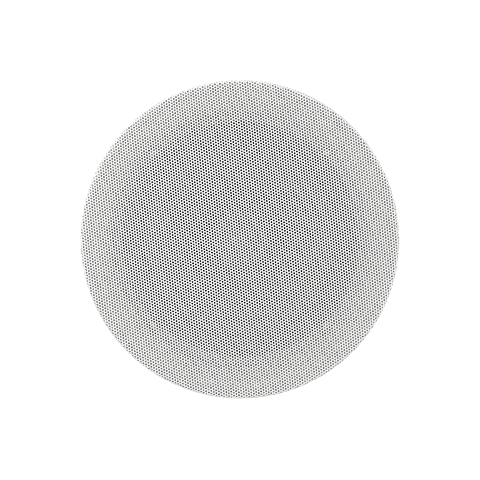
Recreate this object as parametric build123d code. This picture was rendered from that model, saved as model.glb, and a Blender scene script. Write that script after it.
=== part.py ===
from build123d import *
import os
from math import asin, cos, hypot, sin, sqrt

# Round two-way in-ceiling loudspeaker, in millimetres.
# +Z points up into the ceiling void, the grille faces -Z, and z = 0 is the ceiling's underside,
# where the frame's flange seats. The origin is the centre of the round cut-out in the ceiling.

# Radial chain, from the woofer's rim out to the edge of the grille.
woofer_rim_radius = 82.5
clamp_band = 6.8
wall = 2.5
collar_gap = 4.2
flange_width = 11.4
grille_clearance = 0.4
grille_sheet = 0.7

# Flange, flare and baffle of the moulded frame.
flange_edge = 4.0
flange_crown = 6.0
lip_drop = 2.0
skin = 3.2
flange_foot = 2.0
recess_draft = 0.2
baffle_front = 8.0
baffle_thickness = 3.0
collar_height = 10.5
collar_lead = 0.8
woofer_opening_gap = 1.0
rib_thickness = 1.5
rib_setback = 0.5
flange_ribs = 24
gusset_count = 16
gusset_drop = 4.0
bite = 0.4

# Grille: perforated steel with a formed skirt, and the magnets that hold it.
grille_gap = 0.3
grille_bend = 1.6
skirt_gap = 0.6
perforation_pitch = 17.8
perforation_radius = 5.8
perforation_margin = 0.7
perforation_turn = 24.2
magnet_radius = 3.0
magnet_height = 3.0
magnet_pocket = 1.8
magnet_count = 8
slip = 0.1

# Woofer chassis, from the rim back to the motor.
gasket_thickness = 1.0
basket_sheet = 1.2
rim_width = 13.9
surround_lip = 7.0
basket_shelf_height = 29.0
basket_shelf_inner = 34.5
basket_shelf_outer = 44.0
basket_throat_radius = 33.0
motor_seat_depth = 10.0
motor_seat_inner = 20.0
window_count = 4
window_top_width = 70.0
window_low_width = 44.0
window_corner = 5.0
window_margin = 4.0

# Moving parts of the woofer.
surround_thickness = 0.6
surround_lip_thickness = 0.5
roll_radius = 6.5
cone_lip = 4.5
cone_thickness = 0.7
cone_sag = 1.5
trim_width = 6.0
trim_height = 2.0
former_radius = 12.6
former_wall = 0.3
neck_height = 1.6
former_front = 3.0
former_back = 3.0
coil_build = 0.6
coil_height = 9.0
spider_lip = 5.0
spider_thickness = 0.5
spider_wave = 1.3
spider_waves = 5

# Motor.
air_gap = 0.5
pole_clearance = 0.4
top_plate_radius = 40.0
top_plate_height = 6.0
motor_magnet_radius = 44.0
motor_magnet_bore = 22.0
motor_magnet_height = 15.0
magnet_ease = 1.0
back_plate_radius = 40.0
back_plate_height = 5.0
pole_bore = 4.0
pole_set_back = 0.7
rivet_count = 4
rivet_radius = 2.0
rivet_head_radius = 3.2
rivet_head_height = 1.2

# Tweeter on its post.
post_radius = 5.5
post_bore = 2.5
post_foot_radius = 9.0
post_foot_height = 2.0
post_stud_length = 14.0
pod_radius = 19.0
pod_wall = 1.6
pod_back_radius = 9.0
pod_front = 3.0
pod_back = 15.0
faceplate_height = 2.4
faceplate_opening = 12.0
faceplate_throat = 1.5
dome_radius = 9.5
dome_height = 3.6
dome_thickness = 0.4
dome_roll = 1.2
tweeter_yoke_wall = 1.6
tweeter_gap = 1.4
tweeter_magnet_height = 4.0
tweeter_plate_height = 2.5
tweeter_coil_height = 4.0
tweeter_coil_build = 0.4

# Screws through the woofer's rim.
rim_screw_count = 4
rim_screw_inset = 3.0
rim_screw_radius = 1.75
rim_screw_length = 12.0
rim_head_radius = 2.7
rim_head_height = 2.0
screw_boss_radius = 4.0
screw_boss_height = 8.0
screw_hole_gap = 0.25
head_slot_width = 0.9
head_slot_depth = 1.0

# Ceiling clamps: screw, swinging dog, push-on retainer and the tower that guides them.
clamp_count = 4
clamp_angle = 45.0
clamp_screw_radius = 1.75
clamp_head_radius = 2.9
clamp_head_height = 2.6
clamp_play = 0.3
clamp_tip = 0.6
retainer_radius = 4.0
retainer_thickness = 0.8
dog_hub_radius = 4.5
dog_height = 14.0
dog_reach = 28.0
dog_toe = 5.0
dog_shoulder = 1.0
dog_travel = 23.5
dog_thread_gap = 0.2
dog_stop_gap = 0.4
tower_side = 8.0
tower_inset = 2.5
tower_reach = 10.0
tower_cap = 3.0

# Crossover board, its parts, and the push terminals.
board_width = 54.0
board_height = 32.0
board_thickness = 1.6
board_setback = 11.3
board_base = 20.0
guide_width = 6.0
guide_lip = 2.5
guide_grip = 2.5
guide_top_gap = 2.0
board_part_gap = 0.6
inductor_radius = 10.0
inductor_core = 5.0
inductor_length = 12.0
inductor_flange = 1.2
inductor_fill = 0.7
inductor_height = 16.0
capacitor_radius = 4.5
capacitor_length = 20.0
capacitor_height = 5.5
capacitor_seam = 0.6
resistor_width = 20.0
resistor_size = 5.0
resistor_height = 3.0
terminal_width = 24.0
terminal_depth = 13.0
terminal_height = 15.0
terminal_base = 11.0
button_spacing = 12.0
button_width = 6.6
button_depth = 7.4
button_rise = 3.6
button_travel = 3.0
button_gap = 0.35
well_depth = 10.0
well_setback = 0.5
wire_hole_radius = 1.5
wire_hole_length = 8.0
wire_hole_height = 3.0
leaf_thickness = 0.4
leaf_width = 5.0
leaf_length = 6.0

# Radii that follow from the chain.
recess_radius = woofer_rim_radius + clamp_band
recess_outer = recess_radius + wall
collar_inner = recess_outer + collar_gap
collar_radius = collar_inner + wall
foot_radius = collar_radius + flange_foot
flange_radius = collar_radius + flange_width
rim_inner = flange_radius - wall
grille_inner = flange_radius + grille_clearance
grille_radius = grille_inner + grille_sheet
crown_radius = (collar_radius + foot_radius) / 2 + wall / 2
magnet_circle = (foot_radius + rim_inner) / 2
clamp_circle = woofer_rim_radius + clamp_band / 2
rim_screw_circle = woofer_rim_radius - rim_screw_inset
rim_inner_radius = woofer_rim_radius - rim_width
basket_wall_radius = rim_inner_radius + basket_sheet
opening_radius = basket_wall_radius + woofer_opening_gap + basket_sheet
roll_circle = rim_inner_radius - surround_thickness / 2 - roll_radius + surround_thickness
cone_rim_radius = roll_circle - roll_radius
cone_edge_radius = cone_rim_radius - cone_lip
former_outer = former_radius + former_wall
coil_outer = former_outer + coil_build
gap_outer = coil_outer + air_gap
pole_radius = former_radius - pole_clearance

# Heights that follow, up from the grille to the back plate.
grille_back = -flange_crown - grille_gap
grille_front = grille_back - grille_sheet
groove_floor = -flange_crown + skin
baffle_back = baffle_front + baffle_thickness
rim_back = baffle_front - gasket_thickness
rim_front = rim_back - basket_sheet
lip_front = rim_front - surround_lip_thickness
shelf_front = rim_front + basket_shelf_height + basket_sheet
shelf_back = shelf_front + basket_sheet
seat_front = shelf_front + motor_seat_depth
seat_back = seat_front + basket_sheet
top_plate_back = seat_back + top_plate_height
motor_magnet_back = top_plate_back + motor_magnet_height
back_plate_back = motor_magnet_back + back_plate_height
pole_front = seat_back - pole_set_back
spider_front = shelf_front - spider_thickness
neck_front = spider_front - neck_height
coil_front = (seat_back + top_plate_back - coil_height) / 2
clamp_seat = baffle_front - clamp_play
dog_low = baffle_back + clamp_play + retainer_thickness + clamp_play
dog_base = dog_low + dog_travel
dog_top = dog_base + dog_height
tower_top = dog_top + clamp_play + tower_cap
board_face = recess_radius - board_setback
board_outer = board_face + board_thickness
board_clear = board_width / 2 + slip - guide_grip - board_part_gap
inductor_offset = inductor_radius - board_clear
terminal_offset = board_clear - terminal_width / 2
capacitor_offset = terminal_offset


def ring(inner, outer, low, high):
    """A plain ring about the axis, between two heights."""
    return extrude(Pos(0, 0, low) * (Circle(outer) - Circle(inner)), amount=high - low)


def disc(radius, low, high):
    """A plain disc about the axis, between two heights."""
    return extrude(Pos(0, 0, low) * Circle(radius), amount=high - low)


def block(x_range, y_range, z_range):
    """A rectangular block between pairs of coordinates."""
    size = [high - low for low, high in (x_range, y_range, z_range)]
    middle = [(high + low) / 2 for low, high in (x_range, y_range, z_range)]
    return Pos(*middle) * Box(*size)


def turned(*edges):
    """A closed outline of radius and height, given as edges, turned round the axis."""
    return revolve(make_face(Plane.XZ * (Curve() + list(edges))), Axis.Z)


def turned_outline(*points):
    """A closed straight-sided outline of (radius, height) points, turned round the axis."""
    return turned(Polyline(*points, close=True))


def around(count, turn=0.0):
    """Equal turns about the axis."""
    return [Rot(0, 0, turn + 360 * step / count) for step in range(count)]


def slotted_head(radius, low, high):
    """A screw head with a cross recess in its lower face."""
    head = fillet(disc(radius, low, high).edges().sort_by(Axis.Z)[0], (high - low) / 3)
    reach = radius * 0.6
    slot = (low - bite, low + head_slot_depth)
    for turn in (0, 90):
        head -= Rot(0, 0, turn) * block((-reach, reach), (-head_slot_width / 2, head_slot_width / 2), slot)
    return head


def perforations():
    """Round holes on a staggered grid, turned as the sheet is cut, with a gap between holes at the centre."""
    limit = grille_inner - grille_bend - perforation_margin - perforation_radius
    row_height = perforation_pitch * sqrt(3) / 2
    reach = int(limit / row_height) + 2
    holes = []
    for row in range(-reach, reach + 1):
        for step in range(-2 * reach, 2 * reach + 1):
            x = (step + row / 2 + 1 / 2) * perforation_pitch
            y = (row + 1 / 3) * row_height
            if hypot(x, y) <= limit:
                holes.append(Pos(x, y) * Circle(perforation_radius))
    cut = extrude(Pos(0, 0, grille_front - bite) * (Sketch() + holes), amount=grille_sheet + 2 * bite)
    return Rot(0, 0, perforation_turn) * cut


def make_grille():
    """The flat, perforated face of the drawn steel sheet."""
    return disc(grille_radius - grille_bend, grille_front, grille_back) - perforations()


def make_grille_skirt():
    """The edge of the same sheet: a rounded bend and a short skirt round the flange."""
    top = -skirt_gap
    outer = grille_bend
    inner = grille_bend - grille_sheet
    corner = sqrt(0.5)
    return turned(
        ThreePointArc((grille_radius - outer, grille_front),
                      (grille_radius - outer * (1 - corner), grille_front + outer * (1 - corner)),
                      (grille_radius, grille_front + outer)),
        Polyline((grille_radius, grille_front + outer), (grille_radius, top), (grille_inner, top),
                 (grille_inner, grille_back + inner)),
        ThreePointArc((grille_inner, grille_back + inner),
                      (grille_inner - inner * (1 - corner), grille_back + inner * (1 - corner)),
                      (grille_inner - inner, grille_back)),
        Line((grille_inner - inner, grille_back), (grille_radius - outer, grille_front)))


def make_grille_magnets():
    """Small discs let into the back of the flange, out of sight from the front."""
    floor = groove_floor - magnet_pocket
    magnet = Pos(magnet_circle, 0, 0) * disc(magnet_radius, floor, floor + magnet_height)
    return [turn * magnet for turn in around(magnet_count)]


def frame_shell():
    """The frame's moulded section: crowned flange, flare, recess wall, baffle and collar."""
    edge = (flange_radius, -flange_edge)
    lip = (recess_radius, -lip_drop)
    flare_back = -lip_drop - skin / 2 + wall
    return turned(
        Line((flange_radius, 0), edge),
        ThreePointArc(edge, (crown_radius, -flange_crown), lip),
        Polyline(lip, (recess_radius - recess_draft, baffle_front), (opening_radius, baffle_front),
                 (opening_radius, baffle_back), (recess_outer, baffle_back), (recess_outer, flare_back),
                 (collar_inner, groove_floor), (collar_inner, collar_height),
                 (collar_radius - collar_lead, collar_height), (collar_radius, collar_height - collar_lead),
                 (collar_radius, 0), (foot_radius, 0), (foot_radius, groove_floor),
                 (rim_inner, groove_floor), (rim_inner, 0), (flange_radius, 0)))


def clamp_hole():
    """The way for a clamp screw through the baffle and the tower's cap."""
    return Pos(clamp_circle, 0, 0) * disc(clamp_screw_radius + clamp_play, baffle_front - bite,
                                          tower_top + bite)


def clamp_tower():
    """An open channel that guides the dog, stops its swing and steadies the screw's tip."""
    back = (opening_radius + tower_inset, opening_radius + tower_inset + wall)
    stop = (dog_hub_radius + dog_stop_gap, dog_hub_radius + dog_stop_gap + wall)
    height = (baffle_back, tower_top)
    tower = block(back, (-tower_side, stop[1]), height)
    tower += block((back[0], clamp_circle + tower_reach), stop, height)
    tower += block((back[0], clamp_circle + dog_hub_radius), (-tower_side, stop[1]),
                   (tower_top - tower_cap, tower_top))
    return tower - clamp_hole()


def board_guide(side):
    """A slotted post that grips one edge of the crossover board."""
    edge = board_width / 2 + slip
    x_range = sorted((side * (edge - guide_grip), side * (edge - guide_grip + guide_width)))
    post = block(x_range, (board_face - guide_lip, board_outer + guide_lip),
                 (baffle_back, board_base + board_height - guide_top_gap))
    slot_x = sorted((side * (edge - guide_grip - bite), side * edge))
    return post - block(slot_x, (board_face - slip, board_outer + slip),
                        (board_base, board_base + board_height))


def rim_screw_boss():
    """A hollow post on the back of the baffle that takes one rim screw."""
    boss = disc(screw_boss_radius, baffle_back, baffle_back + screw_boss_height)
    bore = disc(rim_screw_radius + slip, baffle_back - bite, baffle_back + screw_boss_height + bite)
    return Pos(rim_screw_circle, 0, 0) * (boss - bore)


def make_frame_posts():
    """What stands on the back of the baffle, moulded with it: clamp towers, screw bosses, board guides."""
    return {
        "clamp_towers": [turn * clamp_tower() for turn in around(clamp_count, clamp_angle)],
        "screw_bosses": [turn * rim_screw_boss() for turn in around(rim_screw_count)],
        "board_guides": [board_guide(side) for side in (-1, 1)],
    }


def make_frame():
    """The frame's shell with its ribs and gussets, holed for the screws and pocketed for the magnets."""
    rib = block((foot_radius - bite, rim_inner + bite), (-rib_thickness / 2, rib_thickness / 2),
                (groove_floor - bite, -rib_setback))
    gusset = block((recess_outer - bite, collar_inner + bite), (-rib_thickness / 2, rib_thickness / 2),
                   (groove_floor - bite, collar_height - gusset_drop))
    screw_hole = Pos(rim_screw_circle, 0, 0) * disc(rim_screw_radius + slip, baffle_front - bite,
                                                    baffle_back + bite)
    pocket = Pos(magnet_circle, 0, 0) * disc(magnet_radius + slip, groove_floor - magnet_pocket, bite)
    frame = frame_shell()
    frame += [turn * rib for turn in around(flange_ribs, 180 / flange_ribs)]
    frame += [turn * gusset for turn in around(gusset_count, 180 / gusset_count)]
    frame -= [turn * screw_hole for turn in around(rim_screw_count)]
    frame -= [turn * clamp_hole() for turn in around(clamp_count, clamp_angle)]
    frame -= [turn * pocket for turn in around(magnet_count)]
    return frame


def rim_screw_holes(low, high):
    """Clearance holes for the rim screws through what lies between two heights."""
    hole = Pos(rim_screw_circle, 0, 0) * disc(rim_screw_radius + screw_hole_gap, low - bite, high + bite)
    return [turn * hole for turn in around(rim_screw_count)]


def make_woofer_gasket():
    """A flat foam ring between the woofer's rim and the baffle, holed for the rim screws."""
    gasket = ring(opening_radius, woofer_rim_radius, rim_back, baffle_front)
    return gasket - rim_screw_holes(rim_back, baffle_front)


def make_basket():
    """The pressed chassis: rim, windowed cone wall, spider shelf and motor seat in one sheet."""
    sheet = basket_sheet
    slope = hypot(basket_wall_radius - basket_shelf_outer, basket_shelf_height)
    side = sheet * slope / basket_shelf_height
    shell = turned_outline(
        (woofer_rim_radius, rim_front), (woofer_rim_radius, rim_back), (basket_wall_radius + side, rim_back),
        (basket_shelf_outer + side, shelf_back), (basket_shelf_inner + sheet, shelf_back),
        (basket_throat_radius + sheet, seat_back), (motor_seat_inner, seat_back),
        (motor_seat_inner, seat_front), (basket_throat_radius, seat_front),
        (basket_shelf_inner, shelf_front), (basket_shelf_outer, shelf_front),
        (rim_inner_radius, rim_back), (rim_inner_radius, rim_front))
    low = rim_back + sheet + window_margin
    high = shelf_front - window_margin
    outline = make_face(Polyline((-window_top_width / 2, low), (window_top_width / 2, low),
                                 (window_low_width / 2, high), (-window_low_width / 2, high), close=True))
    outline = fillet(outline.vertices(), window_corner)
    window = extrude(Plane.YZ * outline, amount=woofer_rim_radius)
    rivet_hole = Pos(rivet_circle(), 0, 0) * disc(rivet_radius, seat_front - bite, seat_back + bite)
    shell -= [turn * window for turn in around(window_count)]
    shell -= rim_screw_holes(rim_front, rim_back)
    return shell - [turn * rivet_hole for turn in around(rivet_count, 180 / rivet_count)]


def rivet_circle():
    """Radius of the rivets that join the basket to the motor's top plate."""
    return (motor_seat_inner + basket_throat_radius) / 2


def make_trim_ring():
    """A moulded ring that clamps the surround's lip to the rim."""
    outer = rim_inner_radius + surround_lip
    inner = outer - trim_width
    ease = trim_height / 3
    return turned_outline((inner, lip_front), (outer, lip_front), (outer, lip_front - trim_height + ease),
                          (outer - ease, lip_front - trim_height), (inner + ease, lip_front - trim_height),
                          (inner, lip_front - trim_height + ease))


def make_surround():
    """A half-roll rubber ring with flat lips, one glued to the rim and one to the cone."""
    outer = rim_inner_radius + surround_lip
    thick = surround_thickness
    crest = lip_front - roll_radius
    front_out, front_in = roll_circle + roll_radius, roll_circle - roll_radius
    back_out, back_in = front_out - thick, front_in + thick
    return turned(
        Line((outer, lip_front), (front_out, lip_front)),
        ThreePointArc((front_out, lip_front), (roll_circle, crest), (front_in, lip_front)),
        Polyline((front_in, lip_front), (cone_edge_radius, lip_front), (cone_edge_radius, rim_front),
                 (back_in, rim_front), (back_in, lip_front)),
        ThreePointArc((back_in, lip_front), (roll_circle, crest + thick), (back_out, lip_front)),
        Polyline((back_out, lip_front), (back_out, rim_front), (outer, rim_front), (outer, lip_front)))


def make_cone():
    """A slightly curved cone with a flat rim under the surround and a short neck on the former."""
    middle_radius = (cone_edge_radius + former_outer) / 2
    middle = (rim_front + neck_front) / 2 + cone_sag
    deep = cone_thickness * 1.3
    return turned(
        Line((cone_rim_radius, rim_front), (cone_edge_radius, rim_front)),
        ThreePointArc((cone_edge_radius, rim_front), (middle_radius, middle), (former_outer, neck_front)),
        Line((former_outer, neck_front), (former_outer, neck_front + deep)),
        ThreePointArc((former_outer, neck_front + deep), (middle_radius, middle + deep),
                      (cone_edge_radius, rim_front + deep)),
        Polyline((cone_edge_radius, rim_front + deep), (cone_rim_radius, rim_front + cone_thickness),
                 (cone_rim_radius, rim_front)))


def make_former():
    """The thin tube that carries the voice coil through the magnet's gap."""
    back = coil_front + coil_height + former_back
    return ring(former_radius, former_outer, neck_front - former_front, back)


def make_voice_coil():
    """The winding, wider than the gap is deep so that it stays in the field as it moves."""
    return ring(former_outer, coil_outer, coil_front, coil_front + coil_height)


def make_spider():
    """A corrugated cloth disc, glued to the former inside and to the basket's shelf outside."""
    flat = basket_shelf_inner - spider_lip
    step = (flat - former_outer - neck_height) / (2 * spider_waves)
    waves = [(flat - step * index, spider_front + spider_wave * (1 - (-1) ** index) / 2)
             for index in range(2 * spider_waves + 1)]
    front = [(basket_shelf_inner + spider_lip, spider_front)] + waves + [(former_outer, spider_front)]
    back = [(radius, height + spider_thickness) for radius, height in reversed(front)]
    return turned_outline(*front, *back)


def make_top_plate():
    """The motor's front plate, riveted to the basket's seat."""
    plate = ring(gap_outer, top_plate_radius, seat_back, top_plate_back)
    hole = Pos(rivet_circle(), 0, 0) * disc(rivet_radius, seat_back - bite, top_plate_back + bite)
    return plate - [turn * hole for turn in around(rivet_count, 180 / rivet_count)]


def make_rivets():
    """Rivets with round heads in the basket's seat, flush with the top plate's far side."""
    shank = disc(rivet_radius, seat_front, top_plate_back)
    head = disc(rivet_head_radius, seat_front - rivet_head_height, seat_front)
    head = chamfer(head.edges().sort_by(Axis.Z)[0], rivet_head_height / 2)
    rivet = Pos(rivet_circle(), 0, 0) * (shank + head)
    return [turn * rivet for turn in around(rivet_count, 180 / rivet_count)]


def make_motor_magnet():
    """The ferrite ring, with eased edges."""
    ease = magnet_ease
    return turned_outline(
        (motor_magnet_bore, top_plate_back), (motor_magnet_bore, motor_magnet_back),
        (motor_magnet_radius - ease, motor_magnet_back), (motor_magnet_radius, motor_magnet_back - ease),
        (motor_magnet_radius, top_plate_back + ease), (motor_magnet_radius - ease, top_plate_back))


def make_back_plate():
    """The back plate and pole, turned as one, bored for the tweeter's post and wires."""
    ease = pole_set_back
    return turned_outline(
        (pole_bore, back_plate_back), (pole_bore, pole_front), (pole_radius, pole_front),
        (pole_radius, motor_magnet_back), (back_plate_radius, motor_magnet_back),
        (back_plate_radius, back_plate_back - ease), (back_plate_radius - ease, back_plate_back))


def make_tweeter_post():
    """A hollow post that stands on the pole, held by a stud in the pole's bore."""
    stud = pole_bore - slip
    return turned_outline(
        (post_bore, pod_back), (post_radius, pod_back), (post_radius, pole_front - post_foot_height),
        (post_foot_radius, pole_front - post_foot_height), (post_foot_radius, pole_front),
        (stud, pole_front), (stud, pole_front + post_stud_length), (post_bore, pole_front + post_stud_length))


def make_tweeter_pod():
    """The tweeter's bowl-shaped housing, open to the front."""
    waist = (pod_radius + pod_back_radius) / 2 + pod_wall
    middle = (pod_front + pod_back) / 2 + pod_wall
    floor = pod_back - pod_wall
    straight = pod_front + 2 * pod_wall
    return turned(
        Polyline((pod_radius, straight), (pod_radius, pod_front), (pod_radius - pod_wall, pod_front),
                 (pod_radius - pod_wall, straight)),
        ThreePointArc((pod_radius - pod_wall, straight), (waist - pod_wall, middle - pod_wall),
                      (pod_back_radius, floor)),
        Polyline((pod_back_radius, floor), (post_bore, floor), (post_bore, pod_back),
                 (pod_back_radius, pod_back)),
        ThreePointArc((pod_back_radius, pod_back), (waist, middle), (pod_radius, straight)))


def tweeter_stack():
    """Heights of the tweeter's pole plate, magnet and yoke, built up from the pod's floor."""
    yoke_back = pod_back - pod_wall
    magnet_back = yoke_back - tweeter_yoke_wall
    plate_back = magnet_back - tweeter_magnet_height
    plate_front = plate_back - tweeter_plate_height
    return plate_front, plate_back, magnet_back, yoke_back


def make_tweeter_yoke():
    """The tweeter motor's steel cup, seated on the pod's floor."""
    front, _, floor, back = tweeter_stack()
    inner = dome_radius + tweeter_gap / 2
    outer = inner + tweeter_yoke_wall
    foot = pod_back_radius
    return turned_outline((0, back), (foot, back), (outer, floor - tweeter_yoke_wall), (outer, front),
                          (inner, front), (inner, floor), (0, floor))


def make_tweeter_magnet():
    """The tweeter's neodymium disc."""
    _, front, back, _ = tweeter_stack()
    return disc(dome_radius - tweeter_gap, front, back)


def make_tweeter_plate():
    """The tweeter's pole plate, inside the coil."""
    front, back, _, _ = tweeter_stack()
    return disc(dome_radius - tweeter_gap / 2, front, back)


def make_tweeter_coil():
    """The tweeter's winding, hung from the dome's edge into the gap."""
    inner = dome_radius - tweeter_coil_build / 2
    return ring(inner, inner + tweeter_coil_build, pod_front, pod_front + tweeter_coil_height)


def make_tweeter_dome():
    """A soft spherical dome with a shallow roll round it and a flat lip under the faceplate."""
    back = pod_front
    front = back - dome_thickness
    sphere = (dome_radius**2 + dome_height**2) / (2 * dome_height)
    half_angle = asin(dome_radius / sphere) / 2
    shoulder = (sphere * sin(half_angle), sphere * (1 - cos(half_angle)) - dome_height)
    crest = (dome_radius + dome_roll, -dome_roll * 0.6)
    roll = dome_radius + 2 * dome_roll
    lip = faceplate_opening + 2 * faceplate_throat
    return turned(
        ThreePointArc((0, front - dome_height), (shoulder[0], front + shoulder[1]), (dome_radius, front)),
        ThreePointArc((dome_radius, front), (crest[0], front + crest[1]), (roll, front)),
        Polyline((roll, front), (lip, front), (lip, back), (roll, back)),
        ThreePointArc((roll, back), (crest[0], back + crest[1]), (dome_radius, back)),
        ThreePointArc((dome_radius, back), (shoulder[0], back + shoulder[1]), (0, back - dome_height)),
        Line((0, back - dome_height), (0, front - dome_height)))


def make_tweeter_faceplate():
    """The ring that holds the dome's lip and flares the way out to the front."""
    lip = faceplate_opening + 2 * faceplate_throat
    back = pod_front
    face = back - faceplate_height
    ease = faceplate_throat / 2
    return turned_outline(
        (faceplate_opening, back - dome_thickness), (lip, back - dome_thickness), (lip, back),
        (pod_radius, back), (pod_radius, face + ease), (pod_radius - ease, face),
        (faceplate_opening + faceplate_throat, face))


def make_rim_screws():
    """Pan-head screws from the front through the rim and gasket into the frame's bosses."""
    head = slotted_head(rim_head_radius, rim_front - rim_head_height, rim_front)
    shank = disc(rim_screw_radius, rim_front - bite, rim_front + rim_screw_length)
    screw = Pos(rim_screw_circle, 0, 0) * (head + shank)
    return [turn * screw for turn in around(rim_screw_count)]


def make_clamp_screw():
    """A long screw with its head in the recess and its tip in the tower's cap."""
    head = slotted_head(clamp_head_radius, clamp_seat - clamp_head_height, clamp_seat)
    shank = disc(clamp_screw_radius, clamp_seat - bite, tower_top + clamp_tip)
    return Pos(clamp_circle, 0, 0) * (head + shank)


def make_clamp_retainer():
    """A push-on washer that keeps the screw in the baffle."""
    low = baffle_back + clamp_play
    return Pos(clamp_circle, 0, 0) * ring(clamp_screw_radius, retainer_radius, low, low + retainer_thickness)


def make_clamp_dog():
    """A dog-leg nut: a hub on the screw and a tapered arm, parked along the collar."""
    shoulder = dog_height - dog_shoulder
    side = make_face(Polyline((0, 0), (dog_reach, 0), (dog_reach, dog_toe), (dog_hub_radius, shoulder),
                              (0, shoulder), close=True))
    arm = extrude(Plane.XZ * side, amount=dog_hub_radius, both=True)
    tips = arm.edges().filter_by(Axis.Z).sort_by(Axis.X)[-2:]
    arm = fillet(tips, dog_hub_radius / 2)
    groove = dog_toe / 5
    for step in range(3):
        tooth = Pos(dog_reach - dog_toe - 3 * groove * step, 0, 0) * Rot(0, 45, 0) * Box(
            groove, 3 * dog_hub_radius, groove)
        arm -= tooth
    dog = arm + disc(dog_hub_radius, 0, dog_height)
    dog -= disc(clamp_screw_radius + dog_thread_gap, -bite, dog_height + bite)
    return Pos(clamp_circle, 0, dog_base) * Rot(0, 0, -90) * dog


def make_crossover_board():
    """A plain circuit board that slides into the frame's guides."""
    half = board_width / 2
    return block((-half, half), (board_face, board_outer), (board_base, board_base + board_height))


def on_board(x, z):
    """A place on the board's outer face, turned so that its Z points away from the face."""
    return Pos(x, board_outer, board_base + z) * Rot(-90, 0, 0)


def make_inductor_bobbin():
    """A flanged spool, glued to the board by one flange."""
    core = disc(inductor_core, 0, inductor_length)
    core += disc(inductor_radius, 0, inductor_flange)
    core += disc(inductor_radius, inductor_length - inductor_flange, inductor_length)
    return on_board(inductor_offset, inductor_height) * core


def make_inductor_winding():
    """The copper winding between the spool's flanges."""
    outer = inductor_core + inductor_fill * (inductor_radius - inductor_core)
    coil = ring(inductor_core, outer, inductor_flange, inductor_length - inductor_flange)
    return on_board(inductor_offset, inductor_height) * coil


def make_capacitor():
    """An electrolytic can that lies on the board, necked near one end."""
    half = capacitor_length / 2
    neck = capacitor_radius - capacitor_seam
    start = half - 3 * capacitor_seam
    can = turned_outline((0, -half), (capacitor_radius, -half), (capacitor_radius, start - capacitor_seam),
                         (neck, start), (capacitor_radius, start + capacitor_seam), (capacitor_radius, half),
                         (0, half))
    place = Pos(capacitor_offset, board_outer + capacitor_radius, board_base + capacitor_height)
    return place * Rot(0, 90, 0) * can


def make_resistor():
    """A ceramic-cased resistor, flat on the board."""
    half = resistor_width / 2
    middle = board_base + resistor_height
    case = block((inductor_offset - half, inductor_offset + half), (board_outer, board_outer + resistor_size),
                 (middle - resistor_size / 2, middle + resistor_size / 2))
    return chamfer(case.edges().filter_by(Axis.X), resistor_size / 8)


def button_places():
    """Where each push button's centre line stands: across the block, and out from the board."""
    y = board_outer + terminal_depth / 2
    half = button_spacing / 2
    return {"red": (terminal_offset - half, y), "black": (terminal_offset + half, y)}


def terminal_levels():
    """Heights of the terminal block's base, top and well floor."""
    base = board_base + terminal_base
    top = base + terminal_height
    return base, top, top - well_depth


def make_terminal_body():
    """The block that holds two spring terminals, with a wire hole under each button."""
    base, top, floor = terminal_levels()
    half = terminal_width / 2
    outer = board_outer + terminal_depth
    body = block((terminal_offset - half, terminal_offset + half), (board_outer, outer), (base, top))
    body = chamfer(body.edges().filter_by(Axis.X).sort_by(Axis.Y)[-2:], rib_setback)
    for x, y in button_places().values():
        wide = button_width / 2 + button_gap
        deep = button_depth / 2 + button_gap
        body -= block((x - wide, x + wide), (y - deep, y + deep), (floor, top + bite))
        wire = Pos(x, outer, base + wire_hole_height) * Rot(90, 0, 0)
        body -= wire * disc(wire_hole_radius, -bite, wire_hole_length)
    return body


def make_terminal_button(colour):
    """A push button with a rounded top, which slides down its well."""
    x, y = button_places()[colour]
    _, top, floor = terminal_levels()
    button = block((x - button_width / 2, x + button_width / 2), (y - button_depth / 2, y + button_depth / 2),
                   (floor + well_setback + button_travel, top + button_rise))
    return fillet(button.edges().filter_by(Axis.Y).sort_by(Axis.Z)[-2:], button_rise / 3)


def make_terminal_leaf(colour):
    """A bent strip that grips the wire and pushes the button back up."""
    x, y = button_places()[colour]
    _, _, floor = terminal_levels()
    height = well_setback + button_travel
    half = leaf_length / 2
    inner = leaf_thickness - half
    top = height - leaf_thickness
    outline = make_face(Polyline((-half, 0), (half, 0), (half, leaf_thickness), (inner, leaf_thickness),
                                 (inner, top), (half, top), (half, height), (-half, height), close=True))
    strip = extrude(Plane.YZ * outline, amount=leaf_width / 2, both=True)
    return Pos(x, y, floor) * strip


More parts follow.
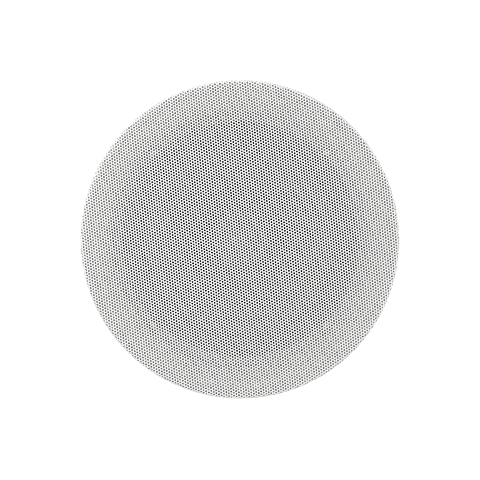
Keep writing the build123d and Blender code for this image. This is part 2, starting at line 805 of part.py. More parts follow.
def build_nodes():
    """Every piece by name."""
    nodes = {
        "grille": make_grille(),
        "grille_skirt": make_grille_skirt(),
        "grille_magnets": make_grille_magnets(),
        "frame": make_frame(),
        "woofer_gasket": make_woofer_gasket(),
        "basket": make_basket(),
        "trim_ring": make_trim_ring(),
        "surround": make_surround(),
        "cone": make_cone(),
        "voice_coil_former": make_former(),
        "voice_coil": make_voice_coil(),
        "spider": make_spider(),
        "top_plate": make_top_plate(),
        "motor_rivets": make_rivets(),
        "motor_magnet": make_motor_magnet(),
        "back_plate": make_back_plate(),
        "tweeter_post": make_tweeter_post(),
        "tweeter_pod": make_tweeter_pod(),
        "tweeter_yoke": make_tweeter_yoke(),
        "tweeter_magnet": make_tweeter_magnet(),
        "tweeter_plate": make_tweeter_plate(),
        "tweeter_coil": make_tweeter_coil(),
        "tweeter_dome": make_tweeter_dome(),
        "tweeter_faceplate": make_tweeter_faceplate(),
        "rim_screws": make_rim_screws(),
        "crossover_board": make_crossover_board(),
        "inductor_bobbin": make_inductor_bobbin(),
        "inductor_winding": make_inductor_winding(),
        "capacitor": make_capacitor(),
        "resistor": make_resistor(),
        "terminal_body": make_terminal_body(),
    }
    nodes.update(make_frame_posts())
    for colour in ("red", "black"):
        nodes[f"terminal_button_{colour}"] = make_terminal_button(colour)
        nodes[f"terminal_leaf_{colour}"] = make_terminal_leaf(colour)
    for number, turn in enumerate(around(clamp_count, clamp_angle), start=1):
        nodes[f"clamp_screw_{number}"] = turn * make_clamp_screw()
        nodes[f"clamp_retainer_{number}"] = turn * make_clamp_retainer()
        nodes[f"clamp_dog_{number}"] = turn * make_clamp_dog()
    return nodes


os.makedirs("parts", exist_ok=True)
for name, shape in build_nodes().items():
    solid = Compound(children=shape) if isinstance(shape, list) else shape
    export_step(solid, f"parts/{name}.step")
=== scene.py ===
import bpy
import numpy as np
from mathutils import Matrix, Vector


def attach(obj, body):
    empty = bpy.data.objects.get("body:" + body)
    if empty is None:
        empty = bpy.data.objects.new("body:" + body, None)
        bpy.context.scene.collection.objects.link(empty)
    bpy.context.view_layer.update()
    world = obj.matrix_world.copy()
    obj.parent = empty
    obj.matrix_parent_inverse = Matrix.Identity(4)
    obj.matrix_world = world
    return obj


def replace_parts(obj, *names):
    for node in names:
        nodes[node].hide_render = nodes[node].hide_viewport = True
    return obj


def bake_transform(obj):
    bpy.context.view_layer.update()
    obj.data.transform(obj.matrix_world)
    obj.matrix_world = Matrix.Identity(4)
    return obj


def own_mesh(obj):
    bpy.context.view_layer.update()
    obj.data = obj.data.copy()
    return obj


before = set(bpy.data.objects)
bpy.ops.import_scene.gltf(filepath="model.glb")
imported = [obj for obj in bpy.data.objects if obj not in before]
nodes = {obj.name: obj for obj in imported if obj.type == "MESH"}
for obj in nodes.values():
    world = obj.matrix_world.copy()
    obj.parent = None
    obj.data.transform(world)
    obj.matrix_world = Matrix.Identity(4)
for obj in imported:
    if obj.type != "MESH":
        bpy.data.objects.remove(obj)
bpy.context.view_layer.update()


# Grille: one drawn sheet of perforated steel, powder-coated white, held to the frame by magnets.
# The sheet is laid out flat as a staggered grid of round holes and then formed, so the holes run
# over the rounded edge and down the skirt, as on a blank that is punched before it is drawn.
class Pattern:
    """One value in a material: a node's socket with arithmetic, where each operation adds one Math node."""

    def __init__(self, tree, socket=None):
        self.tree = tree
        self.socket = socket

    def node(self, kind, settings=None, sockets=None, output=0):
        """Adds any other node: its kind, then its settings, then what feeds its sockets."""
        made = self.tree.nodes.new(kind)
        for name, value in (settings or {}).items():
            setattr(made, name, value)
        for key, value in (sockets or {}).items():
            if isinstance(value, Pattern):
                self.tree.links.new(value.socket, made.inputs[key])
            else:
                made.inputs[key].default_value = value
        return Pattern(self.tree, made.outputs[output])

    def output(self, name):
        """Another output of the same node."""
        return Pattern(self.tree, self.socket.node.outputs[name])

    def math(self, operation, *values):
        """One Math node on these values in order."""
        return self.node("ShaderNodeMath", {"operation": operation}, dict(enumerate(values)))

    def __add__(self, other):
        return self.math("ADD", self, other)

    def __radd__(self, other):
        return self.math("ADD", other, self)

    def __sub__(self, other):
        return self.math("SUBTRACT", self, other)

    def __rsub__(self, other):
        return self.math("SUBTRACT", other, self)

    def __mul__(self, other):
        return self.math("MULTIPLY", self, other)

    def __rmul__(self, other):
        return self.math("MULTIPLY", other, self)

    def __pow__(self, other):
        return self.math("POWER", self, other)

    def __rpow__(self, other):
        return self.math("POWER", other, self)

    def __abs__(self):
        return self.math("ABSOLUTE", self)

    def __lt__(self, other):
        return self.math("LESS_THAN", self, other)

    def __gt__(self, other):
        return self.math("GREATER_THAN", self, other)

    def waves(self, rate):
        """A sine wave from -1 to 1, by its rate in radians per metre."""
        return self.math("SINE", self * rate)

    def lifted(self):
        """Maps -1..1 to 0..1."""
        return self * 0.5 + 0.5

    def between(self, low, high):
        """Maps 0..1 to a range."""
        return self * (high - low) + low

    def axes(self):
        """The three parts of a place."""
        split = self.node("ShaderNodeSeparateXYZ", None, {0: self})
        return [split.output(axis) for axis in "XYZ"]

    def from_axis(self):
        """How far a place is from the speaker's axis."""
        across, along, _ = self.axes()
        return (across * across + along * along) ** 0.5

    def noise(self, size, detail=2.0):
        """Cloudy noise with features of about this size in metres."""
        return self.node("ShaderNodeTexNoise", None, {"Vector": self, "Scale": 1 / size, "Detail": detail})

    def colours(self, first, second):
        """Mixes two colours, or patterns of colour, by this value: sockets 6 and 7 of a Mix node."""
        first, second = ((*colour, 1) if isinstance(colour, tuple) else colour for colour in (first, second))
        return self.node("ShaderNodeMix", {"data_type": "RGBA"}, {0: self, 6: first, 7: second}, 2)

    def bump(self, height, strength=1.0):
        """Turns this value, as a height in metres, into a normal."""
        return self.node("ShaderNodeBump", None, {"Strength": strength, "Distance": height, "Height": self})


class Finish:
    """A material with one Principled shader: constants by socket name, then what varies."""

    def __init__(self, name, **constants):
        self.material = bpy.data.materials.new(name)
        self.material.use_nodes = True
        tree = self.material.node_tree
        self.shader = tree.nodes["Principled BSDF"]
        for key, value in constants.items():
            self.shader.inputs[key.replace("_", " ")].default_value = value
        self.place = Pattern(tree).node("ShaderNodeTexCoord", output="Object")

    def vary(self, **patterns):
        """Feeds patterns to the shader's sockets by name."""
        for key, value in patterns.items():
            self.place.tree.links.new(value.socket, self.shader.inputs[key.replace("_", " ")])
        return self.material


def add_piece(name, points, faces, material, crease=None, uv=None):
    """A mesh object at the origin from an array of points and a list of face arrays, one for each number
    of corners. Edges sharper than crease, in degrees, stay sharp; without it every face is flat. Where uv is
    given, it lays the corners of the faces out flat for the baked finish."""
    mesh = bpy.data.meshes.new(name)
    corners = np.concatenate([group.ravel() for group in faces]).astype(np.int32)
    counts = np.concatenate([np.full(len(group), group.shape[1]) for group in faces])
    mesh.vertices.add(len(points))
    mesh.vertices.foreach_set("co", np.asarray(points, np.float32).ravel())
    mesh.loops.add(len(corners))
    mesh.loops.foreach_set("vertex_index", corners)
    mesh.polygons.add(len(counts))
    mesh.polygons.foreach_set("loop_start", (np.cumsum(counts) - counts).astype(np.int32))
    mesh.polygons.foreach_set("use_smooth", np.full(len(counts), crease is not None))
    mesh.update(calc_edges=True)
    if crease is not None:
        mesh.set_sharp_from_angle(angle=np.radians(crease))
    if uv is not None:
        mesh.uv_layers.new(name="OFBake")
        mesh.uv_layers["OFBake"].uv.foreach_set("vector", np.asarray(uv, np.float32).ravel())
    mesh.materials.append(material)
    made = bpy.data.objects.new(name, mesh)
    bpy.context.scene.collection.objects.link(made)
    return made


hole_pitch = 0.002
hole_radius = 0.00069
hole_sides = 12
row_turn = np.radians(24.2)
row_step = np.pi / 3
first_hole = np.array([-0.00061, -0.00076])
sheet_half = 0.00035
face_radius = 0.10938
bend_radius = 0.00125
bend_length = bend_radius * np.pi / 2
bend_centre = -0.0054
skirt_height = 0.00478
blank_radius = face_radius + bend_length + skirt_height
rim_margin = 0.0013


def formed(flat, side):
    """The flat blank bent to shape: level out to the face radius, then round the bend by the angle that the
    extra length makes, then straight up the skirt. side is -1 for the outer skin and 1 for the inner one."""
    out = np.hypot(*flat.T)
    turn = np.clip((out - face_radius) / bend_radius, 0, np.pi / 2)
    rise = np.maximum(out - face_radius - bend_length, 0)
    arm = bend_radius - side * sheet_half
    radius = np.minimum(out, face_radius) + arm * np.sin(turn)
    height = bend_centre + rise - arm * np.cos(turn)
    stretch = np.divide(radius, out, out=np.ones_like(out), where=out > 0)
    return np.column_stack([flat * stretch[:, None], height])


def hole_cells():
    """Every hexagonal cell of the blank: its centre, and its corners as whole thirds of the grid's two steps.
    A corner that fewer than three cells share lies on the rim, so it is moved out to the blank's edge."""
    reach = int(blank_radius / hole_pitch / np.sin(row_step)) + 1
    count = np.arange(-reach, reach + 1)
    steps = np.stack(np.meshgrid(count, count), -1).reshape(-1, 2)
    turns = row_turn + np.array([0, row_step])
    grid = hole_pitch * np.stack([np.cos(turns), np.sin(turns)], -1)
    centres = first_hole + steps @ grid
    inside = np.hypot(*centres.T) < blank_radius
    thirds = np.array([[1, 1], [-1, 2], [-2, 1], [-1, -1], [1, -2], [2, -1]])
    keys = 3 * steps[inside][:, None] + thirds
    unique, index, uses = np.unique(keys.reshape(-1, 2), axis=0, return_inverse=True, return_counts=True)
    corners = first_hole + unique @ grid / 3
    out = np.hypot(*corners.T)
    corners = np.where((uses < 3)[:, None], corners * (blank_radius / out)[:, None], corners)
    return centres[inside], corners, index.reshape(-1, 6)


def band_map(flat, middles, faces):
    """A flat layout of a band's faces: the outer skin as the blank lies in the left half, the inner skin in
    the right half, each hole's wall as a ring inside that hole, and the cut edge just outside its own rim."""
    outer_middle, inner_middle = np.array([(0.25, 0.5), (0.75, 0.5)])
    map_radius = 0.24
    rim_spread = 1.004
    scale = map_radius / blank_radius
    places = np.concatenate([flat * scale + outer_middle, flat * scale + inner_middle])
    maps = [places[group] for group in faces]
    walls, edges = maps[2:4]
    middle = (middles * scale + outer_middle).repeat(hole_sides, 0)[:, None]
    walls[:, 1:3] = middle + (walls[:, [0, 3]] - middle) / 2
    edges[:, 2:] = (edges[:, [1, 0]] - outer_middle) * rim_spread + outer_middle
    return np.concatenate([group.reshape(-1, 2) for group in maps])


def grille_band(name, low, high, material):
    """The cells whose centres lie between two radii of the blank, as one closed piece of sheet: each cell is
    a ring of five-sided faces between its hexagon and its hole, on both skins, and the hole's wall. A cell
    too near the rim for a hole is one face on each skin."""
    centres, corners, cells = hole_cells()
    out = np.hypot(*centres.T)
    mine = (out >= low) & (out < high)
    used, cells = np.unique(cells[mine], return_inverse=True)
    cells = cells.reshape(-1, 6)
    corners = corners[used]
    holed = out[mine] < blank_radius - rim_margin
    middles = centres[mine][holed]
    angle = row_turn + 2 * np.pi * np.arange(hole_sides) / hole_sides
    circle = hole_radius * np.stack([np.cos(angle), np.sin(angle)], -1)
    flat = np.concatenate([corners, (middles[:, None] + circle).reshape(-1, 2)])
    skin = len(flat)
    ring = len(corners) + np.arange(len(middles) * hole_sides).reshape(-1, hole_sides)
    ring_after = np.roll(ring, -1, axis=1)
    cells_after = np.roll(cells, -1, axis=1)
    every_second = np.arange(0, hole_sides, 2)
    three = [ring[:, (every_second + shift) % hole_sides] for shift in (3, 2, 1)]
    webs = np.stack([cells[holed], cells_after[holed], *three], -1).reshape(-1, 5)
    walls = np.stack([ring, ring + skin, ring_after + skin, ring_after], -1).reshape(-1, 4)
    blank = cells[~holed]
    ends = np.stack([cells, cells_after], -1).reshape(-1, 2)
    _, where, uses = np.unique(np.sort(ends, 1), axis=0, return_inverse=True, return_counts=True)
    rim = ends[uses[where.ravel()] == 1]
    edges = np.column_stack([rim, rim[:, ::-1] + skin])
    faces = [webs[:, ::-1], webs + skin, walls, edges, blank[:, ::-1], blank + skin]
    points = np.concatenate([formed(flat, -1), formed(flat, 1)])
    band = add_piece(name, points, faces, material, crease=50, uv=band_map(flat, middles, faces))
    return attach(band, "grille")


paint = Finish("grille_powder_coat", Specular_IOR_Level=0.35)
speckle = paint.place.noise(0.0009)
grille_white = paint.vary(
    Base_Color=paint.place.noise(0.03).colours((0.87, 0.87, 0.865), (0.9, 0.9, 0.895)),
    Roughness=speckle.between(0.62, 0.74),
    Normal=speckle.bump(0.00003, 0.5))
# Four rings of the sheet, each with about as many holes. The last one takes in the bend and the skirt.
band_edges = (0, 0.0575, 0.0815, 0.1, blank_radius)
for number, (low, high) in enumerate(zip(band_edges, band_edges[1:]), start=1):
    band = grille_band(f"grille_band_{number}", low, high, grille_white)
    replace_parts(band, "grille" if high < blank_radius else "grille_skirt")


# Grille magnets: nickel-plated discs pressed into pockets behind the flange.
# The plating is bright, and clouded a little by tumbling.
def wear(material, *names):
    """Puts a material on CAD nodes that stay as they are."""
    for name in names:
        for slot in nodes[name].material_slots:
            slot.material = material


plate = Finish("nickel_plate", Metallic=1.0)
wear(plate.vary(
    Base_Color=plate.place.noise(0.004).colours((0.68, 0.66, 0.61), (0.76, 0.74, 0.7)),
    Roughness=plate.place.noise(0.0012).between(0.18, 0.32)), "grille_magnets", "tweeter_magnet")


# Frame: one injection moulding with the clamp towers, screw bosses and board guides on its back, coloured
# pale grey: a painted shade that makes it darker than its white plastic, to stand in for the shade behind the
# grille.
# Its mould was spark-eroded, which leaves a fine, even grain on every face.
moulded = Finish("frame_moulding_painted_shade", IOR=1.48)
grain = moulded.place.noise(0.0004, 3.0)
# Painted shade: the grey base colour darkens the whole moulding to stand in for the shade that falls on it
# behind the grille.
wear(moulded.vary(
    Base_Color=moulded.place.noise(0.05).colours((0.48, 0.48, 0.475), (0.52, 0.52, 0.515)),
    Roughness=grain.between(0.5, 0.68),
    Normal=grain.bump(0.00004, 0.6)), "frame", "clamp_towers", "screw_bosses", "board_guides")


# Woofer gasket: closed-cell black foam between the chassis rim and the baffle, die-cut.
# The cut edge shows its cells.
cells_per_metre = 1800.0
foam = Finish("gasket_foam", Specular_IOR_Level=0.2)
cell = foam.place.node("ShaderNodeTexVoronoi", None, {"Vector": foam.place, "Scale": cells_per_metre})
wear(foam.vary(
    Base_Color=cell.colours((0.012, 0.012, 0.012), (0.04, 0.04, 0.04)),
    Roughness=cell.between(0.8, 1.0),
    Normal=cell.bump(0.0001)), "woofer_gasket")


# Basket: pressed steel chassis with four windows, powder-coated black.
# The coat is thin, with a close pebbled texture that catches light on the window edges.
coat = Finish("chassis_powder_coat", IOR=1.5)
pebble = coat.place.noise(0.0007, 3.0)
wear(coat.vary(
    Base_Color=pebble.colours((0.012, 0.012, 0.013), (0.024, 0.024, 0.026)),
    Roughness=pebble.between(0.42, 0.6),
    Normal=pebble.bump(0.00005, 0.7)), "basket")


# Trim ring: soft black moulding pressed over the surround's outer lip.
# Satin, with fine turning lines round it.
trim = Finish("trim_rubber", Specular_IOR_Level=0.35)
lines = trim.place.from_axis().waves(9000.0).lifted()
wear(trim.vary(
    Base_Color=trim.place.noise(0.002).colours((0.014, 0.014, 0.015), (0.026, 0.026, 0.027)),
    Roughness=lines.between(0.5, 0.62)), "trim_ring")


# Surround: half-roll of black rubber, moulded with flat lips that are glued to the rim and the cone.
# It replaces the rigid solid. On the real speaker the surround bends between the fixed rim and the moving
# cone.
def wrapped(rows, columns):
    """Quads of a grid that closes on itself both ways."""
    row, column = np.meshgrid(np.arange(rows), np.arange(columns), indexing="ij")
    next_row, next_column = (row + 1) % rows, (column + 1) % columns
    quads = [row * columns + column, next_row * columns + column,
             next_row * columns + next_column, row * columns + next_column]
    return np.stack(quads, -1).reshape(-1, 4)


def turned(outline, steps):
    """A closed outline of (radius, height) points, in order with the inside on the left, swept round the
    axis: the point (r, z) at angle t lies at (r cos t, r sin t, z)."""
    angle = 2 * np.pi * np.arange(steps) / steps
    radius, height = outline.T
    points = np.stack([np.cos(angle)[:, None] * radius, np.sin(angle)[:, None] * radius,
                       np.broadcast_to(height, (steps, len(height)))], -1)
    return points.reshape(-1, 3), [wrapped(steps, len(radius))]


def arc(centre, radius, start, end, count):
    """Points on an arc about a centre, from one angle to another in degrees."""
    angle = np.radians(np.linspace(start, end, count))
    return np.column_stack([centre[0] + radius * np.cos(angle), centre[1] + radius * np.sin(angle)])


def bend_by_radius(piece):
    """Bakes the piece's placement into its mesh and reads out its points."""
    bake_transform(piece)
    places = np.empty(len(piece.data.vertices) * 3, np.float32)
    piece.data.vertices.foreach_get("co", places)
    return piece


roll_circle = 0.0624
roll_radius = 0.0065
roll_wall = 0.0006
roll_steps = 240
lip_front = 0.0053
lip_back = 0.0058
lip_outer = 0.0756
lip_inner = 0.0514
rubber = Finish("roll_rubber", Specular_IOR_Level=0.4)
bloom = rubber.place.noise(0.006, 4.0)
roll_rubber = rubber.vary(
    Base_Color=bloom.colours((0.016, 0.016, 0.017), (0.03, 0.03, 0.031)),
    Roughness=bloom.between(0.42, 0.6),
    Normal=rubber.place.from_axis().waves(14000.0).bump(0.00001, 0.4))
inside_radius = roll_radius - roll_wall
roll_centre = (roll_circle, lip_front)
outline = np.concatenate([
    [(lip_outer, lip_front), (lip_outer, lip_back), (roll_circle + inside_radius, lip_back)],
    arc(roll_centre, inside_radius, 0, -180, count=40),
    [(roll_circle - inside_radius, lip_back), (lip_inner, lip_back), (lip_inner, lip_front)],
    arc(roll_centre, roll_radius, -180, 0, count=48)])
surround = add_piece("surround_roll", *turned(outline, roll_steps), roll_rubber, crease=40)
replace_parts(bend_by_radius(surround), "surround")


# Cone: black filled polypropylene, moulded with a slight curve.
# Flow marks cloud it, and the face has a close ring texture from the tool.
mould = Finish("cone_polypropylene", IOR=1.49)
flow = mould.place.noise(0.009, 5.0)
wear(mould.vary(
    Base_Color=flow.colours((0.014, 0.014, 0.015), (0.03, 0.03, 0.032)),
    Roughness=flow.between(0.34, 0.5),
    Normal=mould.place.from_axis().waves(6300.0).bump(0.00002, 0.5)), "cone")


# Voice coil: an amber film tube glued into the cone's neck, with lacquered copper wound on it.
# The turns show as fine ridges along the axis.
film = Finish("former_film", IOR=1.6)
wear(film.vary(
    Base_Color=film.place.noise(0.003).colours((0.2, 0.075, 0.015), (0.26, 0.1, 0.022)),
    Roughness=film.place.noise(0.0008).between(0.32, 0.46)), "voice_coil_former")
wire = Finish("coil_wire", Metallic=1.0)
turns = wire.place.axes()[2].waves(21000.0).lifted()
wear(wire.vary(
    Base_Color=turns.colours((0.38, 0.15, 0.06), (0.72, 0.36, 0.18)),
    Roughness=turns.between(0.45, 0.25),
    Normal=turns.bump(0.00008)), "voice_coil", "tweeter_coil")


# Spider: cotton cloth dipped in resin and hot-pressed into rings, glued to the former and the basket's shelf.
# It replaces the rigid solid with round waves. On the real speaker the spider bends between the shelf and the
# cone.
spider_outer = 0.0394
spider_inner = 0.01292
spider_front = 0.0355
spider_wall = 0.00045
spider_points = 100
spider_steps = 120
wave_outer = 0.0295
wave_inner = 0.0145
wave_height = 0.0013
wave_count = 5
cloth = Finish("spider_cloth", Specular_IOR_Level=0.25)
across, along, _ = cloth.place.axes()
weave = (across.waves(9000.0) * along.waves(9000.0)).lifted()
spider_cloth = cloth.vary(
    Base_Color=weave.colours((0.3, 0.2, 0.06), (0.52, 0.38, 0.15)),
    Roughness=weave.between(0.95, 0.75),
    Normal=weave.bump(0.0001))
reach = np.linspace(spider_outer, spider_inner, spider_points)
phase = np.clip((wave_outer - reach) / (wave_outer - wave_inner), 0, 1)
swing = (1 - np.cos(2 * np.pi * wave_count * phase)) / 2
front = np.column_stack([reach, spider_front + wave_height * swing])
outline = np.concatenate([front[::-1], front + [0, spider_wall]])
spider = add_piece("spider_rings", *turned(outline, spider_steps), spider_cloth, crease=40)
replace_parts(bend_by_radius(spider), "spider")


# Motor: zinc-plated top plate and back plate with its pole, riveted to the basket, round a ferrite ring.
# The plates keep their turning marks under the plating; the ferrite is ground, dull and slightly speckled.
zinc = Finish("zinc_plate", Metallic=1.0)
away = zinc.place.from_axis()
marks = ((away.waves(5200.0) + away.waves(12700.0)) * 0.5).lifted()
stain = zinc.place.noise(0.012, 4.0)
wear(zinc.vary(
    Base_Color=stain.colours((0.4, 0.4, 0.385), (0.56, 0.56, 0.55)),
    Roughness=marks * 0.14 + stain * 0.1 + 0.46,
    Normal=marks.bump(0.00001, 0.6)), "top_plate", "back_plate", "tweeter_yoke", "tweeter_plate")
ground = Finish("ferrite", Specular_IOR_Level=0.4)
speck = ground.place.noise(0.0008, 6.0)
wear(ground.vary(
    Base_Color=(speck ** 3.0).colours((0.03, 0.03, 0.032), (0.16, 0.16, 0.165)),
    Roughness=speck.between(0.5, 0.8),
    Normal=speck.bump(0.00005, 0.5)), "motor_magnet")


# Tweeter: soft dome in a black pod on a hollow post, which stands on the pole in the middle of the cone.
# The pod, post and faceplate are satin black mouldings; the dome is coated silk with a fine weave.
pod = Finish("pod_plastic", IOR=1.5)
grit = pod.place.noise(0.0005, 3.0)
wear(pod.vary(
    Base_Color=grit.colours((0.014, 0.014, 0.015), (0.024, 0.024, 0.026)),
    Roughness=grit.between(0.4, 0.52),
    Normal=grit.bump(0.00003, 0.5)), "tweeter_pod", "tweeter_post", "tweeter_faceplate")
silk = Finish("dome_silk", Specular_IOR_Level=0.5, Sheen_Weight=0.2)
across, along, _ = silk.place.axes()
weft = (across.waves(16000.0) * along.waves(16000.0)).lifted()
wear(silk.vary(
    Base_Color=weft.colours((0.014, 0.014, 0.015), (0.035, 0.035, 0.038)),
    Roughness=weft.between(0.45, 0.3),
    Normal=weft.bump(0.00004, 0.6)), "tweeter_dome")


# Screws: blacked rim screws; zinc-plated rivets, clamp screws and their push-on retainers.
# Each clamp screw gets its rolled thread here, as a sleeve on the plain shank of the solid.
clamp_circle = 0.0859
thread_root = 0.00172
thread_crest = 0.00191
thread_inner = 0.00152
thread_pitch = 0.0014
thread_low = 0.0124
thread_high = 0.0536
thread_rows = 240
thread_sides = 20


def ridged_tube(radius, place, inner):
    """A tube whose outer radius is given for each angle, by rows, and each place on its axis, by columns,
    closed by a plain inner wall: the point of radius r at angle t lies at (r cos t, r sin t, place)."""
    sides, count = radius.shape
    angle = 2 * np.pi * np.arange(sides)[:, None] / sides
    radius = np.concatenate([radius, np.full((sides, 2), inner)], axis=1)
    place = np.append(place, [place[-1], place[0]])
    points = np.stack([radius * np.cos(angle), radius * np.sin(angle),
                       np.broadcast_to(place, radius.shape)], -1)
    return points.reshape(-1, 3), wrapped(sides, count + 2)


def thread_sleeve(centre):
    """A sleeve round a screw: at height z and angle t its radius swings between root and crest as a triangle
    wave of z / pitch - t / 2 pi with its tips cut off, which winds the ridge up the screw. Its inner wall
    hides in the shank."""
    height = np.linspace(thread_low, thread_high, thread_rows)
    phase = (height / thread_pitch - np.arange(thread_sides)[:, None] / thread_sides) % 1
    ridge = np.clip(1.5 - 3 * np.abs(2 * phase - 1), 0, 1)
    points, quads = ridged_tube(thread_root + (thread_crest - thread_root) * ridge, height, thread_inner)
    return points + [*centre, 0], [quads]


oxide = Finish("screw_black_oxide", Metallic=0.6)
soot = oxide.place.noise(0.002, 3.0)
wear(oxide.vary(
    Base_Color=soot.colours((0.014, 0.014, 0.015), (0.03, 0.03, 0.032)),
    Roughness=soot.between(0.38, 0.55)), "rim_screws")
steel = Finish("screw_zinc", Metallic=1.0)
tint = steel.place.noise(0.0025, 3.0)
screw_zinc = steel.vary(
    Base_Color=tint.colours((0.5, 0.5, 0.48), (0.68, 0.68, 0.66)),
    Roughness=tint.between(0.25, 0.45))
wear(screw_zinc, "motor_rivets")
for number in range(1, 5):
    wear(screw_zinc, f"clamp_screw_{number}", f"clamp_retainer_{number}")
    turn = np.radians(90 * number - 45)
    centre = clamp_circle * np.array([np.cos(turn), np.sin(turn)])
    thread = add_piece(f"clamp_thread_{number}", *thread_sleeve(centre), screw_zinc, crease=40)
    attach(thread, f"clamp_screw_{number}")


# Clamp dogs: black glass-filled nylon, moulded, which swing out over the ceiling panel.
# The glass shows as dull streaks in the surface.
nylon = Finish("dog_nylon", IOR=1.53)
streak = nylon.place.noise(0.0014, 5.0)
wear(nylon.vary(
    Base_Color=streak.colours((0.012, 0.012, 0.012), (0.035, 0.035, 0.034)),
    Roughness=streak.between(0.42, 0.7),
    Normal=streak.bump(0.00004, 0.6)), *(f"clamp_dog_{number}" for number in range(1, 5)))


# Crossover board: glass-epoxy board with green mask over copper tracks, slid into the frame's guides.
# The tracks run between the parts' pins and stand very slightly proud under the mask.
mask = Finish("board_mask", IOR=1.5, Coat_Weight=0.4, Coat_Roughness=0.15)
across, _, up = mask.place.axes()
millimetre = 0.001


def track(left, right, low, high):
    """1 inside a rectangle of the board, given in millimetres across and up, and 0 outside."""
    wide = abs(across - (left + right) / 2 * millimetre) < (right - left) / 2 * millimetre
    tall = abs(up - (low + high) / 2 * millimetre) < (high - low) / 2 * millimetre
    return wide * tall


copper = (track(-22, -19, 22, 44) + track(-22, 8, 46.5, 49) + track(4, 8, 33, 49) + track(16, 20, 24, 34)
          + track(-6, 18, 21.5, 24) + track(-20, -6, 27, 29.5) + track(-8.5, -6, 27, 40)) > 0.5
wear(mask.vary(
    Base_Color=copper.colours((0.008, 0.075, 0.03), (0.03, 0.17, 0.06)),
    Roughness=mask.place.noise(0.002).between(0.28, 0.4),
    Normal=copper.bump(0.0001, 0.6)), "crossover_board")


# Inductor: lacquered copper wire wound on a black spool that is glued to the board.
# The winding replaces its plain solid with turns that lie side by side round the spool.
spool = Finish("spool_plastic", IOR=1.5)
wear(spool.vary(
    Base_Color=spool.place.noise(0.002).colours((0.02, 0.02, 0.02), (0.05, 0.05, 0.05)),
    Roughness=spool.place.noise(0.0006).between(0.45, 0.6)), "inductor_bobbin")
coil_x = -0.014
coil_z = 0.036
coil_low = 0.08082
coil_high = 0.09038
coil_radius = 0.00848
coil_core = 0.00502
coil_rows = 121
coil_sides = 72
wire_size = 0.0008


def wound_coil():
    """A coil about an axis along Y: at place y and angle t the surface is a row of half circles of one wire's
    width, shifted by t / 2 pi of a wire so that the turns climb. Its inner wall is the spool's core."""
    place = np.linspace(coil_low, coil_high, coil_rows)
    phase = ((place - coil_low) / wire_size - np.arange(coil_sides)[:, None] / coil_sides) % 1
    dip = 1 - np.sqrt(np.clip(1 - (2 * phase - 1) ** 2, 0, 1))
    points, quads = ridged_tube(coil_radius - wire_size / 2 * dip, place, coil_core)
    return points[:, [0, 2, 1]] + [coil_x, 0, coil_z], [quads[:, ::-1]]


lacquer = Finish("lacquered_copper", Metallic=1.0, Coat_Weight=0.5)
age = lacquer.place.noise(0.003, 3.0)
coil_copper = lacquer.vary(
    Base_Color=age.colours((0.5, 0.2, 0.08), (0.72, 0.36, 0.18)),
    Roughness=age.between(0.22, 0.4))
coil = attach(add_piece("inductor_turns", *wound_coil(), coil_copper, crease=50), "root")
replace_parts(coil, "inductor_winding")


# Capacitor and resistor: a can in a shrunk dark blue sleeve with a pale stripe, and a white cement case.
# The can's ends show bare aluminium inside the sleeve's turned-in edge.
can_x = 0.012
can_y = 0.0841
can_z = 0.0255
bare_radius = 0.0036
bare_from = 0.00995
stripe_cosine = 0.95
sleeve = Finish("can_sleeve", IOR=1.52)
across, along, up = sleeve.place.axes()
outward = along - can_y
off = (outward * outward + (up - can_z) ** 2.0) ** 0.5
bare = (off < bare_radius) * (abs(across - can_x) > bare_from)
stripe = (outward > off * stripe_cosine) * (1.0 - bare)
wear(sleeve.vary(
    Base_Color=stripe.colours(bare.colours((0.012, 0.022, 0.075), (0.6, 0.6, 0.6)), (0.45, 0.48, 0.52)),
    Metallic=bare,
    Roughness=sleeve.place.noise(0.004, 3.0).between(0.22, 0.38)), "capacitor")
cement = Finish("resistor_cement", Specular_IOR_Level=0.3)
sand = cement.place.noise(0.0005, 6.0)
wear(cement.vary(
    Base_Color=(sand ** 2.0).colours((0.62, 0.6, 0.54), (0.82, 0.8, 0.75)),
    Roughness=sand.between(0.75, 0.95),
    Normal=sand.bump(0.00008)), "resistor")


# Solder joints: bright cones where the parts' pins come through the inner face of the board.
# Each is a dome that is flared at its foot round the clipped pin.
board_face = 0.078
bead_sides = 14
pins = np.array([(-20.5, 42), (-7.2, 38), (-20.5, 24.5), (-7.5, 28), (5.5, 23),
                 (18, 26), (6, 36), (6, 44), (18, 36), (18, 44)]) * millimetre
bead = np.array([(1.5, 0), (1.05, -0.18), (0.75, -0.5), (0.55, -0.85),
                 (0.38, -1.0), (0.36, -1.5), (0.2, -1.6)]) * millimetre


def solder_joints():
    """One turned bead per pin: rings of the bead's radii at its heights out from the board, closed by a flat
    face at each end."""
    side = np.arange(bead_sides)
    after = (side + 1) % bead_sides
    angle = 2 * np.pi * side / bead_sides
    x = pins[:, 0, None, None] + bead[:, 0, None] * np.cos(angle)
    z = pins[:, 1, None, None] + bead[:, 0, None] * np.sin(angle)
    y = np.broadcast_to(board_face + bead[:, 1, None], x.shape)
    points = np.stack([x, y, z], -1).reshape(-1, 3)
    ring = bead_sides * np.arange(len(bead))[:, None]
    here, above = ring[:-1], ring[1:]
    quads = np.stack([here + side, here + after, above + after, above + side], -1).reshape(-1, 4)
    start = len(bead) * bead_sides * np.arange(len(pins))[:, None]
    return points, [(start[:, None] + quads).reshape(-1, 4), start + side[::-1], start + ring[-1] + side]


tin = Finish("solder", Metallic=1.0)
solder = tin.vary(
    Base_Color=tin.place.noise(0.001).colours((0.55, 0.55, 0.54), (0.75, 0.75, 0.74)),
    Roughness=tin.place.noise(0.0006).between(0.2, 0.4))
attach(add_piece("solder_joints", *solder_joints(), solder, crease=50), "root")


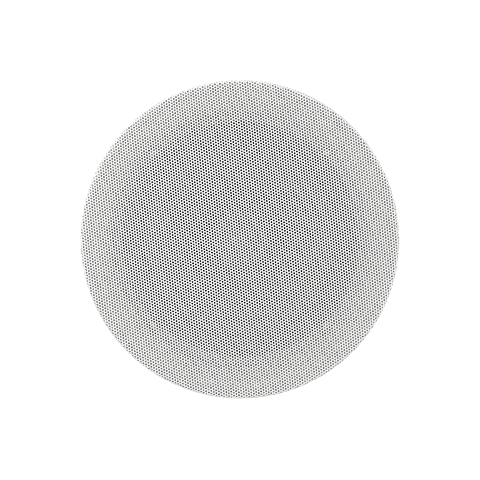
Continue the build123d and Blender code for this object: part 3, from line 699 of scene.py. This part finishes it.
# Terminals: black moulded block with a red and a black push button over the wire holes.
# The buttons are glossier than the block, as they are moulded in a polished tool.
block = Finish("terminal_plastic", IOR=1.5)
fine = block.place.noise(0.0005, 3.0)
wear(block.vary(
    Base_Color=fine.colours((0.014, 0.014, 0.014), (0.024, 0.024, 0.024)),
    Roughness=fine.between(0.45, 0.58),
    Normal=fine.bump(0.00003, 0.5)), "terminal_body")
for colour, dark, light in (("red", (0.36, 0.012, 0.012), (0.46, 0.02, 0.018)),
                            ("black", (0.008, 0.008, 0.008), (0.016, 0.016, 0.016))):
    push = Finish(f"button_{colour}", IOR=1.5)
    wear(push.vary(
        Base_Color=push.place.noise(0.002).colours(dark, light),
        Roughness=push.place.noise(0.0008).between(0.22, 0.34)), f"terminal_button_{colour}")


# Terminal springs: plated bronze strip bent into a hairpin under each button, which grips the wire.
# Each replaces its rigid solid. On the real terminal the spring is pressed flat as its button goes down.
leaf_y = 0.0861
leaf_floor = 0.036
leaf_half_width = 0.0025
leaf_half_wall = 0.0002
leaf_end = 0.003
leaf_bend = (-0.00125, 0.00175)
leaf_bend_radius = 0.00155


def leaf_strip(x):
    """A hairpin strip: a straight foot, a half circle and a straight top as the middle line in Y and Z, given
    its thickness along the line's normal and its width along X."""
    bend = arc(leaf_bend, leaf_bend_radius, 270, 90, count=18)
    line = np.concatenate([[(leaf_end, bend[0, 1])], bend, [(leaf_end, bend[-1, 1])]])
    slope = np.gradient(line, axis=0)
    normal = np.column_stack([-slope[:, 1], slope[:, 0]]) / np.hypot(*slope.T)[:, None]
    loop = np.concatenate([line + leaf_half_wall * normal, (line - leaf_half_wall * normal)[::-1]])
    count = len(loop)
    sides = np.repeat([-leaf_half_width, leaf_half_width], count)
    points = np.column_stack([sides, np.tile(loop, (2, 1))]) + [x, leaf_y, leaf_floor]
    step = np.arange(count)
    after = (step + 1) % count
    quads = np.column_stack([step, step + count, after + count, after])
    return points, [quads, step[None], step[None, ::-1] + count]


bronze = Finish("spring_bronze", Metallic=1.0)
spring = bronze.vary(
    Base_Color=bronze.place.noise(0.0015).colours((0.6, 0.44, 0.18), (0.75, 0.58, 0.28)),
    Roughness=bronze.place.noise(0.0006).between(0.22, 0.36))
for colour, x in (("red", 0.006), ("black", 0.018)):
    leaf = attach(add_piece(f"terminal_spring_{colour}", *leaf_strip(x), spring, crease=40), "root")
    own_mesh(leaf)
    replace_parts(leaf, f"terminal_leaf_{colour}")


# Stage: a pale floor far below, soft lights from below for the grille and from above for the back.
# The main picture looks almost straight up at the grille from the room, as at a ceiling.
def looked_at(tree):
    """1 where a ray comes from the camera, from a mirror or through glass, and 0 where it is light on its
    way."""
    camera_ray = Pattern(tree).node("ShaderNodeLightPath", output="Is Camera Ray")
    return camera_ray + camera_ray.output("Is Glossy Ray") + camera_ray.output("Is Transmission Ray") > 0.5


floor_half = 25.0
floor_level = -1.9
ground_paint = Finish("floor_paint", Emission_Strength=0.8)
floor_white = ground_paint.vary(
    Base_Color=ground_paint.place.noise(0.4).colours((0.23, 0.23, 0.23), (0.25, 0.25, 0.25)),
    Roughness=ground_paint.place.noise(0.02).between(0.8, 0.95),
    Emission_Color=looked_at(ground_paint.place.tree).colours((0, 0, 0), (1, 1, 1)))
square = np.array([(-1, -1, 0), (1, -1, 0), (1, 1, 0), (-1, 1, 0)]) * floor_half + [0, 0, floor_level]
add_piece("floor", square, [np.array([[0, 1, 2, 3]])], floor_white)

world = bpy.data.worlds.new("room")
bpy.context.scene.world = world
world.use_nodes = True
room = world.node_tree
sky = room.nodes["Background"]
sky.inputs["Color"].default_value = (1, 1, 1, 1)
room.links.new(looked_at(room).between(0.62, 1.0).socket, sky.inputs["Strength"])


def soft_light(name, place, size, power):
    """A square lamp that faces the origin."""
    lamp = bpy.data.lights.new(name, "AREA")
    lamp.energy = power
    lamp.size = size
    made = bpy.data.objects.new(name, lamp)
    made.location = place
    made.rotation_euler = (-made.location).to_track_quat("-Z", "Y").to_euler()
    bpy.context.scene.collection.objects.link(made)


soft_light("left", (1.75, 0.45, -1.6), size=0.8, power=40)
soft_light("top", (-0.65, 1.95, -1.2), size=0.8, power=23)
soft_light("edge", (-2.0, -1.5, -0.7), size=0.8, power=32)
soft_light("back", (0.9, -1.3, 1.6), size=1.2, power=12)
soft_light("back_fill", (-1.5, 0.8, 1.2), size=1.0, power=9)

lens = bpy.data.cameras.new("camera")
lens.lens = 172
lens.clip_end = 100
camera = bpy.data.objects.new("camera", lens)
camera.location = (0, 0.084, -1.6)
aim = Vector((0, 0, -0.0067)) - camera.location
camera.rotation_euler = aim.to_track_quat("-Z", "Y").to_euler()
bpy.context.scene.collection.objects.link(camera)
bpy.context.scene.camera = camera
bpy.context.scene.view_settings.view_transform = "Standard"
# The holes are hardly wider than a pixel, so a narrow filter and no denoising keep them.
bpy.context.scene.cycles.filter_width = 0.8
bpy.context.scene.cycles.use_denoising = False
